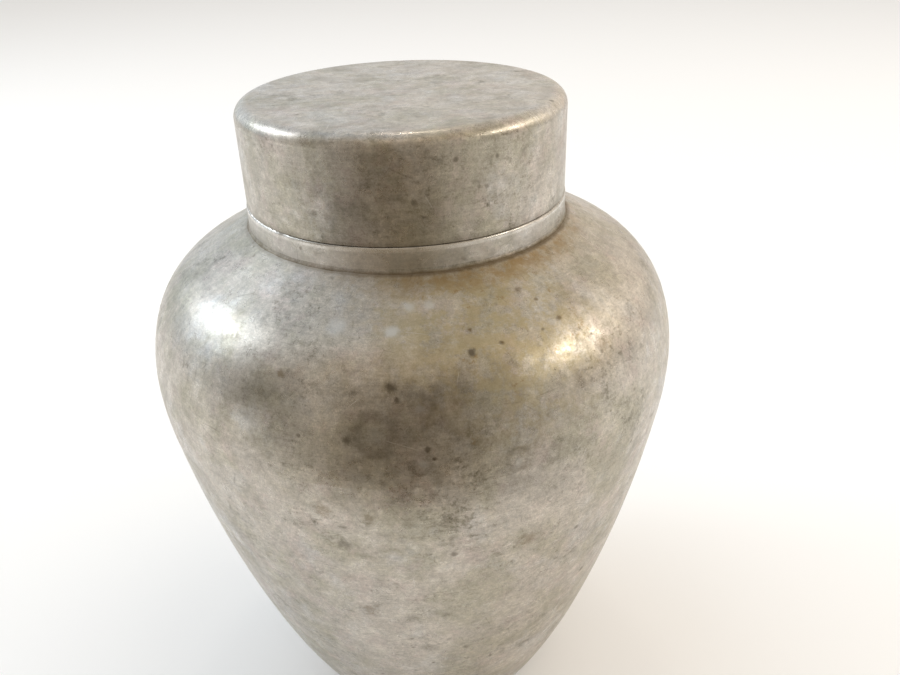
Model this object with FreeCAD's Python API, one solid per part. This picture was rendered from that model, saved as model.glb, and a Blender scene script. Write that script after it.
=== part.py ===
import FreeCAD, Part
import os
from math import atan2, cos, degrees, hypot, radians, sin, tan

# A lidded pewter tea jar, turned and soldered. Millimetres, +Z up. The origin is on the jar's axis
# in the plane of its standing edge. Every piece is turned, so each is a closed outline in radius
# and height, swept once round Z.

# Jar shells
wall = 1.6                # thickness of both shells
body_radius = 51.7        # at the widest turn
widest_height = 79.6      # of that turn above the table
base_radius = 30.0        # where the wall comes down to the table
haunch_radius = 32.2      # first round stretch above the widest turn
haunch_turn = 19.4        # degrees that it turns inwards
shoulder_radius = 19.3    # second, tighter round stretch
shoulder_slope = 61.2     # degrees from upright where the shoulder runs straight to the neck
belly_radius = 56.0       # first round stretch below the widest turn
belly_turn = 8.8          # degrees that it turns inwards
foot_curl_height = 20.1   # above the table, where the long side starts to curl under
foot_curl_run = 8.4       # how far outside the base that place is
standing_edge_round = 1.0
foot_rim_height = 2.4     # solid rim that the base plate is let into
foot_rim_width = 2.8
lap_height = 3.0          # tongue of the lower shell inside the shoulder's rebate
lap_wall = 0.8

# Base plate
base_plate_thickness = 1.6
base_plate_recess = 0.7   # above the table

# Outer lid, a straight cap
lid_radius = 30.0
lid_height = 18.1
lid_wall = 1.4
lid_top = 1.8
lid_edge_round = 2.5      # outside, round the top
lid_corner_round = 1.2    # inside, round the top
lid_rim_round = 0.15      # outside, round the open end

# Neck and collar
lid_fit = 0.3             # between the neck and the lid that slips over it
neck_wall = 1.5
neck_tail = 1.0           # of the neck below the inside of the shoulder
neck_lip_round = 0.35
collar_step = 0.15        # how far the collar stands out past the lid
collar_height = 4.26      # of its outer face above the shoulder
collar_round = 0.5        # its upper outer edge
solder_leg = 0.6          # of the solder in the corner between collar and shoulder

# Inner lid: a plate on the neck's lip, a skirt that plugs the neck, and a knob
plate_thickness = 1.2
plate_play = 0.6          # between the plate's edge and the outer lid
plate_edge_round = 0.4
plug_fit = 0.3            # between the skirt and the neck
skirt_wall = 1.2
skirt_depth = 6.0
skirt_edge_round = 0.4
knob_height = 3.8
knob_radius = 4.5
knob_rim_round = 0.7      # the button's rounded rim
knob_dome = 0.5           # rise of the button's top inside the rim
knob_foot_radius = 3.4    # where the stem meets the plate
knob_waist_radius = 2.4
knob_spigot_radius = 1.5
knob_room = 0.8           # between the knob and the outer lid

neck_radius = lid_radius - lid_wall - lid_fit
neck_bore = neck_radius - neck_wall
collar_radius = lid_radius + collar_step


# --- outlines ---

def round_stretch(start, bend_radius, turn):
    """Three stations of a wall that leaves start and turns inwards. A station is a radius, a climb
    away from the widest turn and a lean in degrees from upright."""
    radius, climb, lean = start
    stations = [start]
    for angle in (lean + turn / 2, lean + turn):
        run = bend_radius * (cos(radians(lean)) - cos(radians(angle)))
        rise = bend_radius * (sin(radians(angle)) - sin(radians(lean)))
        stations.append((radius - run, climb + rise, angle))
    return stations


def round_stretch_to(start, end_radius, end_climb):
    """The round stretch that leaves start along the wall and ends at a given place."""
    radius, climb, lean = start
    run = radius - end_radius
    rise = end_climb - climb
    half_turn = degrees(atan2(run, rise)) - lean
    bend_radius = hypot(run, rise) / (2 * sin(radians(half_turn)))
    return round_stretch(start, bend_radius, 2 * half_turn)


def straight_stretch(start, end_radius):
    """The straight wall that leaves start at its lean and ends at a given radius."""
    radius, climb, lean = start
    return [start, (end_radius, climb + (radius - end_radius) / tan(radians(lean)), lean)]


def place(station, depth, way_up):
    """Radius and height of a station, moved into the wall by depth. The way up is 1 above the
    widest turn and -1 below it."""
    radius, climb, lean = station
    inner_radius = radius - depth * cos(radians(lean))
    inner_climb = climb - depth * sin(radians(lean))
    return inner_radius, widest_height + way_up * inner_climb


widest = (body_radius, 0.0, 0.0)
haunch = round_stretch(widest, haunch_radius, haunch_turn)
shoulder = round_stretch(haunch[-1], shoulder_radius, shoulder_slope - haunch_turn)
cone = straight_stretch(shoulder[-1], neck_radius)
belly = round_stretch(widest, belly_radius, belly_turn)
side = round_stretch_to(belly[-1], base_radius + foot_curl_run, widest_height - foot_curl_height)
foot_curl = round_stretch_to(side[-1], base_radius, widest_height)


def cone_height(radius):
    """Height of the shoulder's straight run at a radius."""
    return place(cone[-1], 0, 1)[1] - (radius - neck_radius) / tan(radians(shoulder_slope))


def wall_outline(depth):
    """The jar's wall from the table up to the neck, as stretches moved into the wall by depth."""
    stretches = []
    for stretch in (foot_curl, side, belly):
        stretches.append([place(station, depth, -1) for station in reversed(stretch)])
    for stretch in (haunch, shoulder, cone):
        stretches.append([place(station, depth, 1) for station in stretch])
    return stretches


seat_height = cone_height(collar_radius) + collar_height
neck_rise = lid_height - lid_top - knob_room - knob_height - plate_thickness
lip_height = seat_height + neck_rise


# --- solids ---

def bend(centre_radius, centre_height, bend_radius, start, end):
    """An arc of an outline, from one angle to another in degrees, counted from outwards."""
    points = []
    for angle in (start, (start + end) / 2, end):
        points.append((centre_radius + bend_radius * cos(radians(angle)),
                       centre_height + bend_radius * sin(radians(angle))))
    return points


def dome(edge_radius, edge_height, rise):
    """An arc of an outline, from an edge up to a crown on the axis."""
    centre = edge_height + rise - (edge_radius ** 2 + rise ** 2) / (2 * rise)
    edge_angle = degrees(atan2(edge_height - centre, edge_radius))
    return bend(0, centre, edge_height + rise - centre, edge_angle, 90)


def turned(outline):
    """The solid swept once round Z by a closed outline. Each of its entries is a point, which a
    straight edge goes to, or the points of a straight edge or an arc."""
    edges = []
    corners = []
    for entry in outline:
        points = [FreeCAD.Vector(radius, 0, height)
                  for radius, height in (entry if isinstance(entry, list) else [entry])]
        if corners and corners[-1].distanceToPoint(points[0]) > 1e-6:
            edges.append(Part.LineSegment(corners[-1], points[0]).toShape())
        if len(points) == 2:
            edges.append(Part.LineSegment(*points).toShape())
        if len(points) == 3:
            edges.append(Part.Arc(*points).toShape())
        corners += points
    edges.append(Part.LineSegment(corners[-1], corners[0]).toShape())
    face = Part.Face(Part.Wire(edges))
    solid = face.revolve(FreeCAD.Vector(0, 0, 0), FreeCAD.Vector(0, 0, 1), 360)
    if solid.Volume < 0:
        solid.reverse()
    return solid


def disc(radius, bottom, top):
    return Part.makeCylinder(radius, top - bottom, FreeCAD.Vector(0, 0, bottom))


# --- jar ---

def jar_wall():
    """Both shells as one, with the neck's hole above and the base plate's hole below."""
    outer_wall = wall_outline(0)
    inner_wall = wall_outline(wall)
    outside = turned([(0, 0)] + outer_wall + [(0, outer_wall[-1][-1][1])])
    inside = turned([(0, inner_wall[0][0][1])] + inner_wall + [(0, inner_wall[-1][-1][1])])
    hollow = inside.common(disc(body_radius, foot_rim_height, seat_height))
    base_hole = disc(base_radius - foot_rim_width, 0, foot_rim_height)
    neck_hole = disc(neck_radius, widest_height, seat_height)
    return outside.cut(hollow).cut(base_hole).cut(neck_hole)


def below_the_joint():
    """Everything that belongs to the lower shell, with the tongue that laps into the shoulder."""
    tongue_radius = body_radius - wall + lap_wall
    return disc(body_radius, 0, widest_height).fuse(disc(tongue_radius, 0, widest_height + lap_height))


def lower_shell():
    shell = jar_wall().common(below_the_joint())
    standing_edges = [edge for edge in shell.Edges
                      if edge.BoundBox.ZMax < 1e-6 and edge.BoundBox.XMax > base_radius - 1e-3]
    return shell.makeFillet(standing_edge_round, standing_edges)


def shoulder_shell():
    return jar_wall().cut(below_the_joint())


def base_plate():
    return disc(base_radius - foot_rim_width, base_plate_recess, base_plate_recess + base_plate_thickness)


def neck_tube():
    cone_wall = wall / sin(radians(shoulder_slope))
    bottom = cone_height(neck_radius) - cone_wall - neck_tail
    lip = lip_height - neck_lip_round
    return turned([(neck_bore, bottom),
                   (neck_radius, bottom),
                   bend(neck_radius - neck_lip_round, lip, neck_lip_round, 0, 90),
                   bend(neck_bore + neck_lip_round, lip, neck_lip_round, 90, 180)])


def collar_band():
    return turned([(neck_radius, cone_height(neck_radius)),
                   (collar_radius, cone_height(collar_radius)),
                   bend(collar_radius - collar_round, seat_height - collar_round, collar_round, 0, 90),
                   (neck_radius, seat_height)])


def collar_solder():
    foot = cone_height(collar_radius)
    slope = radians(shoulder_slope)
    return turned([(collar_radius, foot),
                   (collar_radius + solder_leg * sin(slope), foot - solder_leg * cos(slope)),
                   (collar_radius, foot + solder_leg)])


# --- lids ---

def outer_lid():
    bore = lid_radius - lid_wall
    top = seat_height + lid_height
    ceiling = top - lid_top
    return turned([(bore, seat_height),
                   bend(lid_radius - lid_rim_round, seat_height + lid_rim_round, lid_rim_round, -90, 0),
                   bend(lid_radius - lid_edge_round, top - lid_edge_round, lid_edge_round, 0, 90),
                   (0, top),
                   (0, ceiling),
                   bend(bore - lid_corner_round, ceiling - lid_corner_round, lid_corner_round, 90, 0)])


def inner_lid_plate():
    edge = lid_radius - lid_wall - plate_play
    top = lip_height + plate_thickness
    return turned([(knob_spigot_radius, lip_height),
                   (edge, lip_height),
                   bend(edge - plate_edge_round, top - plate_edge_round, plate_edge_round, 0, 90),
                   (knob_spigot_radius, top)])


def inner_lid_skirt():
    outer = neck_bore - plug_fit
    inner = outer - skirt_wall
    bottom = lip_height - skirt_depth
    return turned([(inner, lip_height),
                   bend(inner + skirt_edge_round, bottom + skirt_edge_round, skirt_edge_round, 180, 270),
                   bend(outer - skirt_edge_round, bottom + skirt_edge_round, skirt_edge_round, -90, 0),
                   (outer, lip_height)])


def inner_lid_knob():
    """A turned button on a hollowed stem, with a spigot that fills the plate's hole."""
    foot = lip_height + plate_thickness
    under = foot + knob_height - knob_dome - 2 * knob_rim_round
    rim_centre = knob_radius - knob_rim_round
    stem = [(knob_foot_radius, foot),
            (knob_waist_radius, (foot + under) / 2),
            (knob_foot_radius, under)]
    return turned([(0, lip_height),
                   (knob_spigot_radius, lip_height),
                   (knob_spigot_radius, foot),
                   stem,
                   bend(rim_centre, under + knob_rim_round, knob_rim_round, -90, 90),
                   dome(rim_centre, under + 2 * knob_rim_round, knob_dome)])


os.makedirs("parts", exist_ok=True)
for make_piece in (lower_shell, shoulder_shell, base_plate, neck_tube, collar_band, collar_solder,
                   inner_lid_plate, inner_lid_skirt, inner_lid_knob, outer_lid):
    piece = make_piece()
    piece.exportStep("parts/" + make_piece.__name__ + ".step")
    box = piece.BoundBox
    print(make_piece.__name__, "solids", len(piece.Solids), "valid", piece.isValid(),
          "volume %.0f" % piece.Volume, "radius %.2f" % box.XMax, "z %.2f to %.2f" % (box.ZMin, box.ZMax))
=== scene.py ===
# %% [markdown]
# # A lidded pewter jar
# The jar is turned pewter: two soldered shells, a collar round the neck, a straight cap lid over it and
# a small plug lid inside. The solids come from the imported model, and this script gives them their
# surfaces, the few details that are too fine for the solids, and a soft white studio.
# Everything is in metres, with the jar standing on the floor at the origin.

# %% Load the jar's solids
import math
import random

import bmesh
import bpy
from mathutils import Matrix, Vector


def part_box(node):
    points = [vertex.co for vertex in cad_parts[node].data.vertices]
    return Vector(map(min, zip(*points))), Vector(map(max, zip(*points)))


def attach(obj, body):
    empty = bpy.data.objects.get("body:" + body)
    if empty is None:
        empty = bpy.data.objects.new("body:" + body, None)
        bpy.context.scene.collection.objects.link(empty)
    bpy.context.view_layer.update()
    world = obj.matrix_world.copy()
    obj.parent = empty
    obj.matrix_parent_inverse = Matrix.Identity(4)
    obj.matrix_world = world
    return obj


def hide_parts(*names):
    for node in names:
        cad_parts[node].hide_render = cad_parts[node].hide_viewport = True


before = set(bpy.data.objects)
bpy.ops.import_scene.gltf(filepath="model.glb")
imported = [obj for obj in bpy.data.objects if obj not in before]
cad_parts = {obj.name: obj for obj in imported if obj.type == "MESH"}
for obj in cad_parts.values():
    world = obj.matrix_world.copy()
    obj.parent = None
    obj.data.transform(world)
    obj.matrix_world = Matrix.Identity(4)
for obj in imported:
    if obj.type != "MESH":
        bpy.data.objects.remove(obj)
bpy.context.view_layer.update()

MM = 0.001
print("pieces from the solids:", ", ".join(sorted(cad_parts)))

# %% [markdown]
# ## Sizes that the finish needs
# Dirt, polish and tarnish follow the jar's own features: the seam under the cap, the collar's foot, the
# widest turn. Their heights are read from the solids, so the finish stays in place if a size changes.

# %% Heights and radii read from the solids
seam_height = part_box("outer_lid")[0].z
lid_top_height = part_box("outer_lid")[1].z
lid_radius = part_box("outer_lid")[1].x
collar_foot_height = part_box("collar_band")[0].z
collar_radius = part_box("collar_band")[1].x
belly_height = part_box("shoulder_shell")[0].z
solder_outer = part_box("collar_solder")[1].x
solder_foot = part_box("collar_solder")[0].z
solder_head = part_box("collar_solder")[1].z
print("seam at %.1f mm, top at %.1f mm" % (seam_height / MM, lid_top_height / MM))


def around(azimuth, radius, height):
    """A point round the jar. Azimuth is in degrees from the front, positive to the right."""
    turn = math.radians(azimuth)
    return Vector((radius * math.sin(turn), -radius * math.cos(turn), height))


# %% [markdown]
# ## Camera
# The camera stands close to the jar, a little above the lid, and looks down at it. A short lens that
# close makes the lid look large and the foot small, so the distance matters as much as the angle.

# %% Camera
CAMERA_DISTANCE = 152.7 * MM
CAMERA_ABOVE_SEAM = 51.4 * MM
CAMERA_LENS = 33.08
LOOK_DOWN = math.radians(29.09)
LOOK_RIGHT = math.radians(2.74)
TILT = math.radians(2.03)

camera_data = bpy.data.cameras.new("camera")
camera_data.lens = CAMERA_LENS
camera_data.sensor_width = 36
camera_data.clip_start = 0.01
camera = bpy.data.objects.new("camera", camera_data)
bpy.context.scene.collection.objects.link(camera)
camera.matrix_world = (Matrix.Translation((0, -CAMERA_DISTANCE, seam_height + CAMERA_ABOVE_SEAM))
                       @ Matrix.Rotation(-LOOK_RIGHT, 4, "Z")
                       @ Matrix.Rotation(math.radians(90) - LOOK_DOWN, 4, "X")
                       @ Matrix.Rotation(-TILT, 4, "Z"))
bpy.context.scene.camera = camera
print("camera at", [round(v / MM) for v in camera.matrix_world.translation])

# %% [markdown]
# ## A small language for materials
# A surface is a sum of many simple patterns. Wrapped sockets let those sums be written as arithmetic:
# `grain * 0.3 + cloud` adds the Math nodes by itself. Colours go through Mix nodes, and every other node
# comes from one method.

# %% Sockets that can be added and multiplied
class Signal:
    """One socket of a node tree, usually a number that changes over a surface."""

    def __init__(self, nodes, socket):
        self.nodes = nodes
        self.socket = socket

    def math(self, operation, *others):
        return self.nodes.node("ShaderNodeMath", {"operation": operation}, [self, *others])

    def __add__(self, other):
        return self.math("ADD", other)

    def __sub__(self, other):
        return self.math("SUBTRACT", other)

    def __rsub__(self, other):
        return self.nodes.node("ShaderNodeMath", {"operation": "SUBTRACT"}, [other, self])

    def __mul__(self, other):
        return self.math("MULTIPLY", other)

    def __truediv__(self, other):
        return self.math("DIVIDE", other)

    def __pow__(self, other):
        return self.math("POWER", other)

    __radd__ = __add__
    __rmul__ = __mul__

    def between(self, low, high):
        """0 below low, 1 above high, and a smooth rise from one to the other."""
        return self.nodes.node("ShaderNodeMapRange", {"interpolation_type": "SMOOTHSTEP"},
                               {"Value": self, "From Min": low, "From Max": high})

    def hill(self, middle, spread):
        """1 where the value is middle, falling to 0 on both sides within about twice spread."""
        return self.math("SUBTRACT", middle).math("ABSOLUTE").between(2 * spread, 0)


class Nodes:
    """The node tree of a material or of the room."""

    def __init__(self, owner, shader):
        owner.use_nodes = True
        self.tree = owner.node_tree
        self.shader = self.tree.nodes[shader]

    def node(self, kind, settings, inputs, output=None):
        """Any node: its settings are set first, then its inputs by name or in order."""
        made = self.tree.nodes.new(kind)
        for key, value in settings.items():
            setattr(made, key, value)
        pairs = inputs.items() if isinstance(inputs, dict) else enumerate(inputs)
        for key, value in pairs:
            if isinstance(value, Signal):
                self.tree.links.new(value.socket, made.inputs[key])
            else:
                made.inputs[key].default_value = value
        outputs = [socket for socket in made.outputs if socket.enabled]
        return Signal(self, outputs[0] if output is None else made.outputs[output])

    def blend(self, amount, first, second):
        """First where amount is 0 and second where it is 1. Either may be a colour or a link."""
        return self.node("ShaderNodeMix", {"data_type": "RGBA"},
                         {"Factor": amount, 6: first, 7: second}, 2)

    def feed(self, **sockets):
        for name, value in sockets.items():
            socket = self.shader.inputs[name.replace("_", " ")]
            if isinstance(value, Signal):
                self.tree.links.new(value.socket, socket)
            else:
                socket.default_value = value


class Surface(Nodes):
    """A material being built. Its place is the point on the jar in millimetres."""

    def __init__(self, name):
        self.material = bpy.data.materials.new(name)
        super().__init__(self.material, "Principled BSDF")
        self.place = self.node("ShaderNodeVectorMath", {"operation": "SCALE"},
                               {"Vector": self.node("ShaderNodeTexCoord", {}, {}, "Object"),
                                "Scale": 1 / MM})

    def noise(self, size, detail=2.0, roughness=0.5, where=None, distortion=0.0):
        """Cloudy noise from 0 to 1 whose features are about size millimetres across."""
        return self.node("ShaderNodeTexNoise", {},
                         {"Vector": where or self.place, "Scale": 1 / size, "Detail": detail,
                          "Roughness": roughness, "Distortion": distortion}, "Fac")

    def stretched(self, x, y, z):
        """The place on the jar with each axis scaled, which stretches a pattern along small ones."""
        return self.node("ShaderNodeVectorMath", {"operation": "MULTIPLY"}, [self.place, (x, y, z)])

    def moved(self, x, y, z):
        return self.node("ShaderNodeVectorMath", {"operation": "ADD"}, [self.place, (x, y, z)])

    def along(self, axis):
        return self.node("ShaderNodeSeparateXYZ", {}, [self.place], axis)

    def from_axis(self):
        """Millimetres from the jar's axis."""
        flat = self.stretched(1, 1, 0)
        return self.node("ShaderNodeVectorMath", {"operation": "LENGTH"}, [flat], "Value")

    def turned_lines(self, spacing):
        """Fine lines that run round the axis, on a wall and on a flat face alike."""
        where = self.node("ShaderNodeCombineXYZ", {}, [self.from_axis() / spacing, self.along("Z") / spacing,
                                                       self.along("X") * 0.12 + self.along("Y") * 0.07])
        return self.noise(1.0, 3, 0.6, where=where)

    def distance(self, point):
        """Millimetres from a point given in metres."""
        return self.node("ShaderNodeVectorMath", {"operation": "DISTANCE"},
                         [self.place, tuple(point / MM)], "Value")

    def ring_distance(self, radius, height):
        """Millimetres from a circle round the jar's axis."""
        outwards = self.from_axis() - radius / MM
        upwards = self.along("Z") - height / MM
        return (outwards * outwards + upwards * upwards) ** 0.5

    def tint(self, colour, amount):
        """A colour made lighter or darker by a number."""
        return self.node("ShaderNodeVectorMath", {"operation": "SCALE"},
                         {"Vector": colour, "Scale": amount})

# %% [markdown]
# ## Aged pewter
# Old pewter isn't one grey. Under the hand it keeps a soft shine, between the high spots it turns warm,
# olive or faintly pink, and it collects pits, specks and the rings that drops leave. Each of these is a
# pattern of its own size, from clouds as wide as a thumb down to a grain that is only just visible, and
# the finish is their sum.

# %% Colours of old pewter
WARM_GREY = (0.500, 0.460, 0.405, 1)
OLIVE_GREY = (0.392, 0.364, 0.288, 1)
ROSE_GREY = (0.500, 0.428, 0.385, 1)
COOL_GREY = (0.560, 0.555, 0.545, 1)
PALE_BLOOM = (0.660, 0.660, 0.640, 1)
STRAW = (0.475, 0.392, 0.215, 1)
STAIN_BROWN = (0.330, 0.225, 0.105, 1)
DIRT_BROWN = (0.165, 0.115, 0.055, 1)
# The next colour darkens specks, spots and scratches, and also paints shade into the seam under the cap.
SOOT_AND_SHADE = (0.135, 0.115, 0.085, 1)
# The next colour is that of fresh scratches, and also of the painted highlight along the collar's top edge.
BARE_METAL_AND_SHEEN = (0.760, 0.730, 0.680, 1)
FLECK = (0.140, 0.126, 0.085, 1)
print("lightest and darkest red: %.3f, %.3f" % (BARE_METAL_AND_SHEEN[0], SOOT_AND_SHADE[0]))

# %% [markdown]
# ## Patterns of wear
# The clouds are a colour, and every other kind of wear is a mask from 0 to 1. Noise makes what has no
# edge, such as clouds and flecks. Voronoi cells make what is scattered, such as specks and rings, because
# each cell holds one mark, and its own colour decides whether the mark is there at all.

# %% Patterns of wear
def clouds_of_colour(surface):
    """The slow drift between warm, olive, rose and cool grey."""
    wide = surface.noise(16, 8, 0.66, distortion=0.4)
    patch = surface.noise(6, 8, 0.70, where=surface.moved(31, 7, 12))
    cool = surface.noise(11, 8, 0.68, where=surface.moved(5, 44, 70))
    colour = surface.blend(wide.between(0.42, 0.62) * 0.85, WARM_GREY, OLIVE_GREY)
    colour = surface.blend(patch.between(0.48, 0.68) * 0.7, colour, ROSE_GREY)
    return surface.blend(cool.between(0.50, 0.72) * 0.6, colour, COOL_GREY)


def cells(surface, size, output, channel=None):
    """Scattered points about size millimetres apart: how far the nearest is, or its own chance."""
    made = surface.node("ShaderNodeTexVoronoi", {}, {"Vector": surface.place, "Scale": 1 / size}, output)
    return surface.node("ShaderNodeSeparateColor", {}, [made], channel) if channel else made * size


def specks(surface, size, share, radius, channel):
    """Soft dark specks in a share of the cells, each up to radius millimetres."""
    ragged = cells(surface, size, "Distance") + (surface.noise(radius * 1.2, 4, 0.7) - 0.5) * radius * 1.4
    chance = cells(surface, size, "Color", channel)
    return ragged.between(radius, radius * 0.1) * chance.between(1 - share, 1 - share * 0.3)


def flecks(surface, size, where):
    """Ragged olive flecks that gather in some places and leave others clean."""
    shape = surface.noise(size, 8, 0.75, where=where)
    gathered = surface.noise(13, 4, 0.6, where=surface.moved(50, 20, 90))
    return (shape + gathered * 0.45).between(0.81, 0.90)


def drop_rings(surface, size, share, radius):
    """Faint round stains left by drops: a soft dark rim, broken by the mottle."""
    uneven = cells(surface, size, "Distance") + (surface.noise(1.8, 6, 0.75) - 0.5) * 2.4
    broken = surface.noise(3.0, 4, where=surface.moved(13, 3, 8)).between(0.42, 0.62)
    chance = cells(surface, size, "Color", "Green").between(1 - share, 1)
    return uneven.hill(radius, 0.45) * chance * broken


def scratches(surface, size, width, turn):
    """Short straight scratches: the edges of large cells, cut into fragments by a mask."""
    turned_place = surface.node("ShaderNodeMapping", {}, {"Vector": surface.place, "Rotation": turn})
    edges = surface.node("ShaderNodeTexVoronoi", {"feature": "DISTANCE_TO_EDGE"},
                         {"Vector": turned_place, "Scale": 1 / size}, "Distance")
    fragments = surface.noise(4.5, 2, where=surface.moved(*[10 * angle for angle in turn]))
    return (edges * size).between(width, width * 0.3) * fragments.between(0.58, 0.68)


# %% [markdown]
# ## One finish for every piece
# The patterns are put together once, in a function, and each piece gets its own mix of tone and polish.
# The value, which lightens or darkens the metal, is a product, so a dark cloud keeps its grain. The same
# patterns also move the roughness and a very low relief, as they do on real metal, where a stain is
# duller and a pit is deeper than what is round it.

# %% The pewter finish
MOTTLE_STRENGTH = 1.10
FINE_STRENGTH = 0.85
GRAIN_STRENGTH = 0.80
LINE_STRENGTH = 0.32
RING_STRENGTH = 0.22
FLECK_STRENGTH = 0.85
METALLIC = 0.9
DARKEST = 0.92
print("mottle %.2f, fine %.2f, grain %.2f" % (MOTTLE_STRENGTH, FINE_STRENGTH, GRAIN_STRENGTH))


def pewter(name, tone=1.0, polish=0.25, straight_above=None, marks=None):
    """One piece's finish. Tone lightens it and polish is its lowest roughness. The tool lines run round
    the axis, except above the height straight_above, where they are straight. Marks may add what only
    this piece has."""
    surface = Surface(name)
    lines = surface.turned_lines(0.4) - 0.5
    if straight_above:
        on_top = surface.along("Z").between(straight_above / MM, straight_above / MM + 1)
        straight = surface.noise(1.0, 3, 0.6, where=surface.stretched(0.10, 2.6, 2.6)) - 0.5
        lines = lines + on_top * (straight * 1.6 - lines)
    mottle = surface.noise(5.0, 10, 0.74) - 0.5
    fine = surface.noise(0.9, 4, 0.7, where=surface.moved(9, 2, 4)) - 0.5
    grain = surface.noise(0.22, 2, 0.6, where=surface.moved(2, 8, 1)) - 0.5
    small_specks = specks(surface, 3.4, 0.35, 0.55, "Red")
    large_specks = specks(surface, 11.0, 0.30, 1.1, "Blue")
    rings = drop_rings(surface, 10.5, 0.5, 2.0)
    scores = scratches(surface, 19, 0.06, (0.4, 1.1, 0.3)) + scratches(surface, 29, 0.05, (1.3, 0.2, 0.9))
    hairs = scratches(surface, 8, 0.11, (0.2, 0.9, 1.4)) + scratches(surface, 13, 0.09, (1.0, 0.1, 0.5))
    streaky = surface.stretched(0.6, 0.6, 1.5)
    fleck = (flecks(surface, 2.6, surface.place) * 0.40 + flecks(surface, 1.6, streaky) * 0.35
             + flecks(surface, 0.8, surface.moved(70, 11, 29)) * 0.40)
    value = (1 + mottle * MOTTLE_STRENGTH) * (1 + fine * FINE_STRENGTH)
    value = value * (1 + grain * GRAIN_STRENGTH) * (1 + lines * LINE_STRENGTH)
    value = value * (1 - rings * RING_STRENGTH) * tone
    metal = surface.tint(clouds_of_colour(surface), value)
    dull = surface.noise(2.5, 8, 0.75, where=surface.moved(17, 23, 5))
    dents = surface.noise(13, 2) - 0.5
    relief = grain * 0.006 + fine * 0.008 + lines * 0.003 + mottle * 0.035 + dents * 0.28
    look = {
        "colour": surface.blend(fleck * FLECK_STRENGTH, metal, FLECK),
        "dark": small_specks * 0.50 + large_specks * 0.60 + hairs * 0.30,
        "pale": scores * 0.42,
        "roughness": polish + dull.between(0.34, 0.66) * 0.22 + small_specks * 0.15 + fine * 0.1,
        "relief": relief - small_specks * 0.02 - large_specks * 0.04 - scores * 0.010,
    }
    if marks:
        marks(surface, look)
    colour = surface.blend(look["dark"].math("MINIMUM", DARKEST), look["colour"], SOOT_AND_SHADE)
    colour = surface.blend(look["pale"].math("MINIMUM", 1.0), colour, BARE_METAL_AND_SHEEN)
    bump = surface.node("ShaderNodeBump", {}, {"Height": look["relief"], "Strength": 1.0, "Distance": MM})
    surface.feed(Base_Color=colour, Roughness=look["roughness"], Normal=bump, Metallic=METALLIC)
    return surface.material


# %% [markdown]
# ## The marks that the eye finds first
# Beside the all-over pattern, a used jar has marks of its own: a straw-coloured bloom on the right of the
# shoulder, a dark smudge where it is held, a few spots and drop rings on the front, and brown dirt in the
# corner under the collar. Each has a place: an azimuth from the front and a height above the table.

# %% Places on the wall
def on_the_wall(node_name, azimuth, height):
    """The point on a piece's outside at an azimuth in degrees and a height in millimetres."""
    far = around(azimuth, 0.2, height * MM)
    axis = Vector((0, 0, height * MM))
    hit, point, normal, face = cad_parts[node_name].ray_cast(far, (axis - far).normalized())
    return point


# Azimuth in degrees, height and radius in millimetres, and strength of each mark.
DARK_SPOTS = [(11, 98.6, 1.0, 0.95), (-5, 95.5, 1.3, 0.9), (-4, 93.8, 0.7, 0.8), (-12, 94.8, 0.8, 0.5),
              (-13, 88.0, 1.2, 0.8), (-22, 87.8, 0.6, 0.7), (1, 86.5, 0.7, 0.8), (2, 84.9, 0.5, 0.8),
              (-16, 66.0, 1.7, 0.55), (5, 63.5, 1.0, 0.6), (-4, 45.0, 2.0, 0.40), (-1, 33.0, 2.4, 0.40),
              (-37, 109.4, 0.6, 0.6), (-14, 110.3, 0.4, 0.6), (42, 42.0, 0.9, 0.6), (33, 60.0, 0.7, 0.6),
              (140, 84.0, 1.4, 0.7), (-120, 92.0, 1.1, 0.7), (175, 60.0, 1.8, 0.5), (-95, 70.0, 1.2, 0.5)]
DIRT_SPOTS = [(12, 100.8, 0.6, 0.9), (18, 99.0, 0.6, 0.8), (28, 103.3, 0.9, 0.6), (31, 102.0, 0.7, 0.7),
              (33, 99.7, 0.8, 0.7), (-19, 74.0, 2.2, 0.45), (-10, 73.0, 1.7, 0.45), (20, 63.0, 2.6, 0.40),
              (-14, 47.0, 2.6, 0.45), (40, 95.0, 2.0, 0.40), (-27, 96.0, 1.0, 0.60), (120, 80.0, 2.0, 0.5)]
DROP_RINGS = [(-8, 89.0, 3.0, 1.0), (0, 84.0, 1.5, 0.8), (17, 82.0, 1.7, 0.7), (24, 81.5, 1.8, 0.6),
              (0, 92.6, 1.5, 0.6), (-14, 80.0, 2.4, 0.4), (110, 88.0, 2.6, 0.6), (-150, 80.0, 2.2, 0.6)]
PALE_SPOTS = [(-5, 101.2, 1.7, 0.8), (-1, 103.4, 1.4, 0.7), (4, 103.5, 1.3, 0.6), (-18, 101.5, 2.4, 0.5),
              (0, 92.6, 1.0, 0.4), (-8, 89.0, 1.8, 0.30), (0, 84.0, 0.9, 0.4), (17, 82.0, 1.0, 0.3)]
SMUDGES = [(-2, 89.0, 16.0, 0.34), (12, 93.0, 14.0, 0.18), (-30, 90.0, 15.0, 0.24), (22, 80.0, 14.0, 0.18),
           (150, 80.0, 20.0, 0.35), (-140, 90.0, 14.0, 0.3)]
LID_SPOTS = [(15, 124.6, 0.7, 0.7), (29, 124.1, 0.6, 0.7), (2, 118.4, 0.9, 0.6), (-30, 116.0, 0.8, 0.5),
             (25, 119.5, 0.5, 0.5), (-8, 121.5, 0.5, 0.5), (130, 120.0, 0.9, 0.6), (-110, 118.0, 0.8, 0.6)]
# The same for the cap's side, but with the height above the seam.
LID_SMUDGES = [(-16, 11, 14, 0.22), (-20, 3, 9, 0.25), (8, 4, 10, 0.10), (160, 8, 14, 0.25)]
STRAW_PLACE = (16, 101)
STAIN_AZIMUTH = 32
LID_TOP_SPOT = around(63, 28.3 * MM, lid_top_height)
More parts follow.
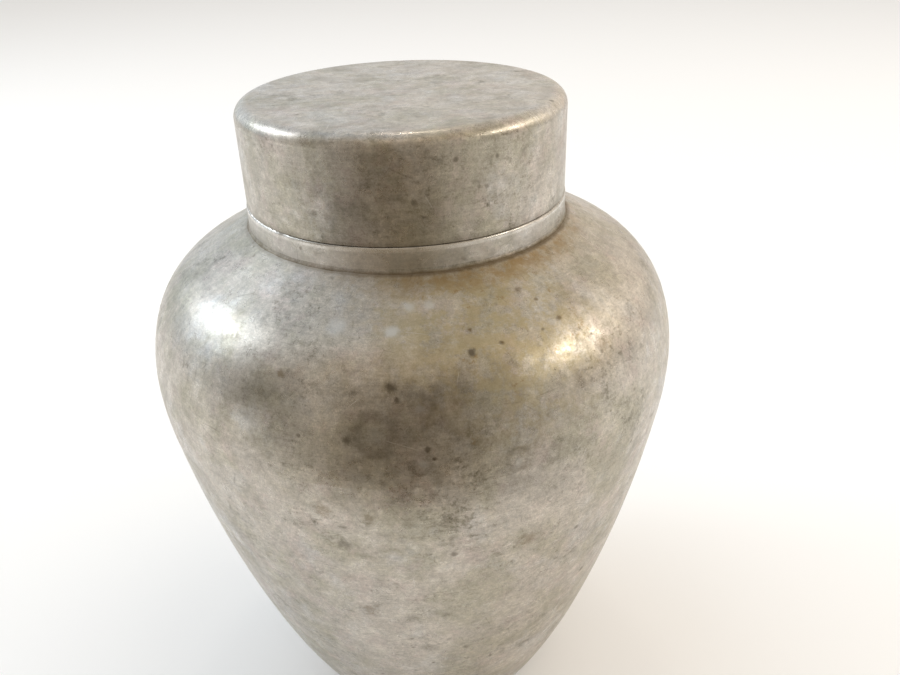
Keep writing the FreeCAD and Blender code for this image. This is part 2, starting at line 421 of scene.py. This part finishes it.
# Where the painted highlights on the cap's rubbed top edge and on the collar's top edge sit.
EDGE_RUB_SHEEN_INSET = 1.0 * MM
COLLAR_RUB_SHEEN_DROP = 0.45 * MM


def node_at(height):
    """The piece whose outside is met at a height in millimetres."""
    if height * MM > seam_height:
        return "outer_lid"
    if height * MM > solder_head:
        return "collar_band"
    return "shoulder_shell" if height * MM > belly_height else "lower_shell"


def spots(surface, places, ragged, edge):
    """The sum of round marks: ragged roughens their outline, edge is how soft it is."""
    total = None
    for azimuth, height, radius, strength in places:
        away = surface.distance(on_the_wall(node_at(height), azimuth, height)) + ragged * radius
        mark = away.between(radius, radius * (1 - edge)) * strength
        total = mark if total is None else total + mark
    return total


def rims(surface, places, ragged):
    """The sum of ring-shaped marks."""
    total = None
    for azimuth, height, radius, strength in places:
        away = surface.distance(on_the_wall(node_at(height), azimuth, height)) + ragged
        mark = away.hill(radius, radius * 0.26) * strength
        total = mark if total is None else total + mark
    return total


def raggedness(surface, size=1.6):
    """From -0.5 to 0.5, to roughen the outline of a small mark."""
    return surface.noise(size, 8, 0.75, where=surface.moved(3, 61, 27)) - 0.5


def slow_drift(surface):
    """From -0.5 to 0.5, to make a wide mark uneven."""
    return surface.noise(6, 8, 0.70, where=surface.moved(77, 15, 40)) - 0.5


def jar_marks(surface, look):
    """What the two shells and the collar have gathered, with painted shade along the seam and a painted
    highlight on the collar's top edge.
    """
    ragged = raggedness(surface)
    drift = slow_drift(surface)
    blotch = surface.noise(3.2, 8, 0.72, where=surface.moved(41, 5, 60))
    straw = surface.distance(on_the_wall("shoulder_shell", *STRAW_PLACE)) + drift * 30
    off_collar = surface.from_axis().between(collar_radius / MM + 0.2, collar_radius / MM + 1.4)
    straw = straw.between(26, 6) * (0.15 + blotch.between(0.42, 0.57) * 0.85) * off_collar
    foot_line = surface.ring_distance(solder_outer, solder_foot)
    front_right = surface.distance(around(STAIN_AZIMUTH, collar_radius, collar_foot_height)).between(40, 8)
    dirt = (foot_line + ragged * 1.2).between(0.8, 0.05) * (0.35 + front_right * 0.45)
    stain = (foot_line + ragged * 6.0).between(6.5, 0.3) * front_right
    stain = stain * (0.35 + blotch.between(0.4, 0.6) * 0.55) * (0.15 + off_collar * 0.85)
    # Painted shade in the seam groove under the cap.
    seam = surface.ring_distance(lid_radius, seam_height).between(0.40, 0.15)
    # The collar's top edge: rubbed, so a little less rough, and lightened as a painted highlight.
    rubbed_sheen = surface.ring_distance(collar_radius, seam_height - COLLAR_RUB_SHEEN_DROP).between(0.60, 0.25)
    rubbed_sheen = rubbed_sheen * (0.45 + blotch.between(0.35, 0.6) * 0.55)
    smudge = spots(surface, SMUDGES, drift * 1.6, 0.9)
    look["colour"] = surface.blend(0.35 - off_collar * 0.35, look["colour"], COOL_GREY)
    look["colour"] = surface.blend(straw * 0.62, look["colour"], STRAW)
    rust = flecks(surface, 2.2, surface.moved(8, 90, 33)) * straw.between(0.1, 0.6)
    look["colour"] = surface.blend(rust * 0.75, look["colour"], STAIN_BROWN)
    look["colour"] = surface.blend(stain, look["colour"], STAIN_BROWN)
    look["colour"] = surface.blend(spots(surface, PALE_SPOTS, ragged * 1.2, 0.8), look["colour"], PALE_BLOOM)
    look["colour"] = surface.tint(look["colour"], 1 - smudge)
    all_dirt = (dirt + spots(surface, DIRT_SPOTS, ragged * 2.4, 0.8)).math("MINIMUM", 1.0)
    look["colour"] = surface.blend(all_dirt, look["colour"], DIRT_BROWN)
    look["pale"] = look["pale"] + rubbed_sheen * 0.65
    drops = rims(surface, DROP_RINGS, ragged * 3.0 + drift * 5) * (0.15 + blotch * 0.5)
    look["dark"] = look["dark"] + spots(surface, DARK_SPOTS, ragged * 1.8, 0.8) + seam * 0.7 + drops
    look["roughness"] = look["roughness"] + dirt * 0.3 + straw * 0.06 - rubbed_sheen * 0.08


def lid_marks(surface, look):
    """Painted shade over the seam, a dark handled side, a few spots and a rubbed top edge that is lightened
    as a painted highlight.
    """
    ragged = raggedness(surface)
    drift = slow_drift(surface)
    for azimuth, above_seam, radius, strength in LID_SMUDGES:
        centre = around(azimuth, lid_radius, seam_height + above_seam * MM)
        smudge = (surface.distance(centre) + drift * radius).between(radius, radius * 0.2)
        look["colour"] = surface.tint(look["colour"], 1 - smudge * strength)
    # Painted shade along the seam at the cap's lower edge.
    seam = (surface.ring_distance(lid_radius, seam_height) + ragged).between(1.4, 0.1)
    top_spot = (surface.distance(LID_TOP_SPOT) + ragged * 0.6).between(0.7, 0.2)
    # The cap's top edge: rubbed, so a little less rough, and lightened as a painted highlight.
    edge = surface.ring_distance(lid_radius - EDGE_RUB_SHEEN_INSET, lid_top_height - EDGE_RUB_SHEEN_INSET)
    rubbed_sheen = (edge + ragged * 1.5).between(2.2, 0.6)
    look["dark"] = look["dark"] + seam * 0.35 + top_spot * 0.7 + spots(surface, LID_SPOTS, ragged * 1.4, 0.8)
    look["colour"] = surface.tint(look["colour"], 1 + rubbed_sheen * 0.12)
    look["roughness"] = look["roughness"] - rubbed_sheen * 0.05


marks_placed = [DARK_SPOTS, DIRT_SPOTS, DROP_RINGS, PALE_SPOTS, SMUDGES, LID_SPOTS, LID_SMUDGES]
print("marks placed by hand:", sum(len(places) for places in marks_placed))

# %% [markdown]
# ## Solder under the collar
# The collar is soldered to the shoulder all the way round. The solids give the fillet a straight face.
# The real one is run in with a hot iron and wiped hollow, so it is fuller in one place and thinner in
# another. A short hollow profile is spun round the axis, then each cut of it is shrunk
# towards the corner by its own amount, which keeps it against both walls.

# %% Solder fillet
CUTS = 288
PROFILE_STEPS = 8
THINNEST = 0.55
corner = Vector((collar_radius, 0, collar_foot_height))
foot = Vector((solder_outer, 0, solder_foot))
head = Vector((collar_radius, 0, solder_head))
pull = corner.lerp((foot + head) / 2, 0.30)
hollow_face = [head.lerp(pull, t / PROFILE_STEPS).lerp(pull.lerp(foot, t / PROFILE_STEPS), t / PROFILE_STEPS)
               for t in range(PROFILE_STEPS + 1)]

chance = random.Random(11)
waves = [(count, chance.uniform(0, math.tau), chance.uniform(0.4, 1.0)) for count in (2, 3, 5, 8, 13, 21, 34)]
wave_sum = sum(size for count, start, size in waves)


def fullness(turn):
    """How much of the even fillet is there at a turn round the axis, from THINNEST to 1."""
    wave = sum(size * math.sin(count * turn + start) for count, start, size in waves) / wave_sum
    return THINNEST + (1 - THINNEST) * (0.5 + 0.5 * wave)


shape = bmesh.new()
outline = [shape.verts.new(point) for point in [corner] + hollow_face]
edges = [shape.edges.new((outline[i - 1], outline[i])) for i in range(len(outline))]
bmesh.ops.spin(shape, geom=outline + edges, cent=(0, 0, 0), axis=(0, 0, 1), angle=math.tau,
               steps=CUTS, use_merge=True)
bmesh.ops.remove_doubles(shape, verts=shape.verts[:], dist=0.001 * MM)
bmesh.ops.recalc_face_normals(shape, faces=shape.faces[:])
for vert in shape.verts:
    turn = math.atan2(vert.co.y, vert.co.x)
    here = Vector((collar_radius * math.cos(turn), collar_radius * math.sin(turn), corner.z))
    vert.co = here.lerp(vert.co, fullness(turn))
for face in shape.faces:
    face.smooth = True
for edge in shape.edges:
    edge.smooth = edge.calc_face_angle() < math.radians(35)
fillet_mesh = bpy.data.meshes.new("solder_fillet")
shape.to_mesh(fillet_mesh)
shape.free()
solder_fillet = bpy.data.objects.new("solder_fillet", fillet_mesh)
bpy.context.scene.collection.objects.link(solder_fillet)
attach(solder_fillet, "jar")
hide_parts("collar_solder")
fills = [fullness(math.radians(degree)) for degree in range(360)]
print("solder fillet: %d faces, %.2f to %.2f of full" % (len(fillet_mesh.polygons), min(fills), max(fills)))


def solder_marks(surface, look):
    """Dirt along the fillet's foot, most of it at the front and right."""
    foot_line = surface.ring_distance(solder_outer, solder_foot) + raggedness(surface, size=1.2)
    front_right = surface.distance(around(25, collar_radius, collar_foot_height)).between(52, 15)
    dirt = foot_line.between(0.9, 0.1) * (0.40 + front_right * 0.35)
    look["colour"] = surface.blend(dirt, look["colour"], DIRT_BROWN)
    look["roughness"] = look["roughness"] + dirt * 0.4


# %% [markdown]
# ## A finish for each piece
# The shells and the collar were worked and tarnished together, so they share one finish, and the dirt
# runs across their joints without a step. The cap has been handled apart. What is kept inside, under the
# cap or beneath the foot has seen less wear, and is paler. The solder is duller than all of them.

# %% Put the finish on the solids
jar_pewter = pewter("jar_pewter", tone=1.07, marks=jar_marks)
lid_pewter = pewter("lid_pewter", tone=1.02, straight_above=lid_top_height - 2 * MM, marks=lid_marks)
inner_pewter = pewter("inner_pewter", tone=1.15)
solder_metal = pewter("solder_metal", tone=0.85, polish=0.38, marks=solder_marks)
fillet_mesh.materials.append(solder_metal)
FINISHES = {
    "lower_shell": jar_pewter,
    "shoulder_shell": jar_pewter,
    "collar_band": jar_pewter,
    "collar_solder": solder_metal,
    "outer_lid": lid_pewter,
    "neck_tube": inner_pewter,
    "inner_lid_plate": inner_pewter,
    "inner_lid_skirt": inner_pewter,
    "inner_lid_knob": inner_pewter,
    "base_plate": inner_pewter,
}
for node_name, material in FINISHES.items():
    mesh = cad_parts[node_name].data
    mesh.materials.clear()
    mesh.materials.append(material)
print("finishes: %d on %d pieces" % (len(set(FINISHES.values())), len(FINISHES)))

# %% [markdown]
# ## Floor
# A sheet of white paper, large enough that its edge is never seen.

# %% Floor
FLOOR_REACH = 6.0
floor_mesh = bpy.data.meshes.new("floor")
shape = bmesh.new()
bmesh.ops.create_grid(shape, x_segments=8, y_segments=8, size=FLOOR_REACH)
shape.to_mesh(floor_mesh)
shape.free()
floor = bpy.data.objects.new("floor", floor_mesh)
bpy.context.scene.collection.objects.link(floor)
paper = Surface("paper")
paper.feed(Base_Color=(0.78, 0.78, 0.78, 1), Roughness=0.9, Emission_Color=(1, 1, 1, 1),
           Emission_Strength=0.15)
floor_mesh.materials.append(paper.material)
print("floor: %.0f m across" % (2 * FLOOR_REACH))

# %% [markdown]
# ## Light
# A dull metal shows its surroundings more than its own colour. The white paper lights the sides from
# below, a cool window stands to the left and a little behind, a warm one to the right, and the space in
# front of the jar is dim, which is what makes the middle of the jar dark.

# %% The room
COOL_LIGHT = (0.82, 0.91, 1.0, 1)
WARM_LIGHT = (1.0, 0.91, 0.80, 1)
DIM_LIGHT = (1.0, 0.84, 0.64, 1)
FRONT_GLOW = 0.16
BACK_GLOW = 1.02
TOP_GLOW = 0.70

world = bpy.data.worlds.new("room")
bpy.context.scene.world = world
room = Nodes(world, "Background")
direction = room.node("ShaderNodeTexCoord", {}, {}, "Generated")
sideways = room.node("ShaderNodeSeparateXYZ", {}, [direction], "X")
backwards = room.node("ShaderNodeSeparateXYZ", {}, [direction], "Y")
upwards = room.node("ShaderNodeSeparateXYZ", {}, [direction], "Z")
behind = backwards.between(-0.75, 0.35)
glow = FRONT_GLOW + behind * (BACK_GLOW - FRONT_GLOW)
glow = glow + upwards.between(0.35, 0.95) * (TOP_GLOW - glow)
side_colour = room.blend(sideways.between(-0.7, 0.7), COOL_LIGHT, WARM_LIGHT)
room.feed(Color=room.blend(behind, DIM_LIGHT, side_colour), Strength=glow)
print("room: %.2f in front, %.2f behind, %.2f above" % (FRONT_GLOW, BACK_GLOW, TOP_GLOW))


# %% [markdown]
# Each window is a pair of lights: a small bright pane that makes the sharp part of a highlight, and a
# wide faint curtain that makes its soft edge. Two large lights from above brighten the metal evenly, and
# are kept out of reflections, where their outline would show.

# %% Windows
NEAR = 0.9
FAR = 1.4
PALE_WARM_LIGHT = (1.0, 0.95, 0.88, 1)


def window(name, azimuth, elevation, reach, size, power, colour):
    """A rectangle of soft light that faces the jar's belly."""
    light = bpy.data.lights.new(name, "AREA")
    light.shape = "RECTANGLE"
    light.size = size[0]
    light.size_y = size[1]
    light.energy = power
    light.color = colour[:3]
    lamp = bpy.data.objects.new(name, light)
    bpy.context.scene.collection.objects.link(lamp)
    target = Vector((0, 0, belly_height))
    flat = reach * math.cos(math.radians(elevation))
    lamp.location = around(azimuth, flat, target.z + reach * math.sin(math.radians(elevation)))
    lamp.rotation_euler = (target - lamp.location).to_track_quat("-Z", "Y").to_euler()
    return lamp


window("cool_window", azimuth=-109, elevation=33, reach=NEAR, size=(0.20, 0.13), power=0.95,
       colour=COOL_LIGHT)
window("cool_curtain", azimuth=-110, elevation=31, reach=NEAR, size=(0.50, 0.40), power=0.85,
       colour=COOL_LIGHT)
window("warm_window", azimuth=74, elevation=31, reach=NEAR, size=(0.30, 0.12), power=1.00,
       colour=PALE_WARM_LIGHT)
window("warm_curtain", azimuth=92, elevation=30, reach=NEAR, size=(0.60, 0.40), power=0.60, colour=WARM_LIGHT)
window("far_window", azimuth=176, elevation=66, reach=NEAR, size=(0.10, 0.05), power=0.40, colour=WARM_LIGHT)
cool_sky = window("cool_sky", azimuth=-115, elevation=60, reach=FAR, size=(1.2, 1.2), power=5.5,
                  colour=COOL_LIGHT)
warm_sky = window("warm_sky", azimuth=100, elevation=60, reach=FAR, size=(1.2, 1.2), power=5.5,
                  colour=WARM_LIGHT)
for sky_light in (cool_sky, warm_sky):
    sky_light.visible_glossy = False
print("lights:", len(bpy.data.lights))

# %% [markdown]
# ## Dark card
# Whoever looks at a shiny jar stands in front of it and darkens it. A card that leans there, under and
# behind the camera, does the same. It is dark in the middle and pale towards its edges, so its reflection
# has no hard side. Only reflections see it: it throws no shadow and isn't seen itself.

# %% Dark card
CARD_CORNERS = [(-0.20, -0.115, 0.002), (0.20, -0.115, 0.002), (0.60, -0.46, 0.50), (-0.60, -0.46, 0.50)]
CARD_DARK = (0.29, 0.232, 0.160, 1)
CARD_PALE = (0.78, 0.74, 0.68, 1)
DARK_MIDDLE = -7
DARK_HALF = 12
DARK_END = 52
card_mesh = bpy.data.meshes.new("dark_card")
shape = bmesh.new()
bmesh.ops.contextual_create(shape, geom=[shape.verts.new(corner) for corner in CARD_CORNERS])
shape.to_mesh(card_mesh)
shape.free()
dark_card = bpy.data.objects.new("dark_card", card_mesh)
bpy.context.scene.collection.objects.link(dark_card)
cloth = Surface("dark_cloth")
card_azimuth = cloth.along("X").math("ARCTAN2", cloth.along("Y") * -1) * math.degrees(1)
off_middle = (card_azimuth - DARK_MIDDLE).math("ABSOLUTE")
cloth.feed(Base_Color=(0.0, 0.0, 0.0, 1), Roughness=1.0, Emission_Strength=1.0,
           Emission_Color=cloth.blend(off_middle.between(DARK_HALF, DARK_END), CARD_DARK, CARD_PALE))
card_mesh.materials.append(cloth.material)
dark_card.visible_camera = False
dark_card.visible_diffuse = False
dark_card.visible_shadow = False
print("card: dark within %d degrees of azimuth %d" % (DARK_HALF, DARK_MIDDLE))

# %% [markdown]
# ## Plain colours
# The standard view shows the colours as they are mixed, with no film look on top.

# %% Plain colours
view = bpy.context.scene.view_settings
view.view_transform = "Standard"
view.look = "None"
view.exposure = 0.0
print("view:", view.view_transform)
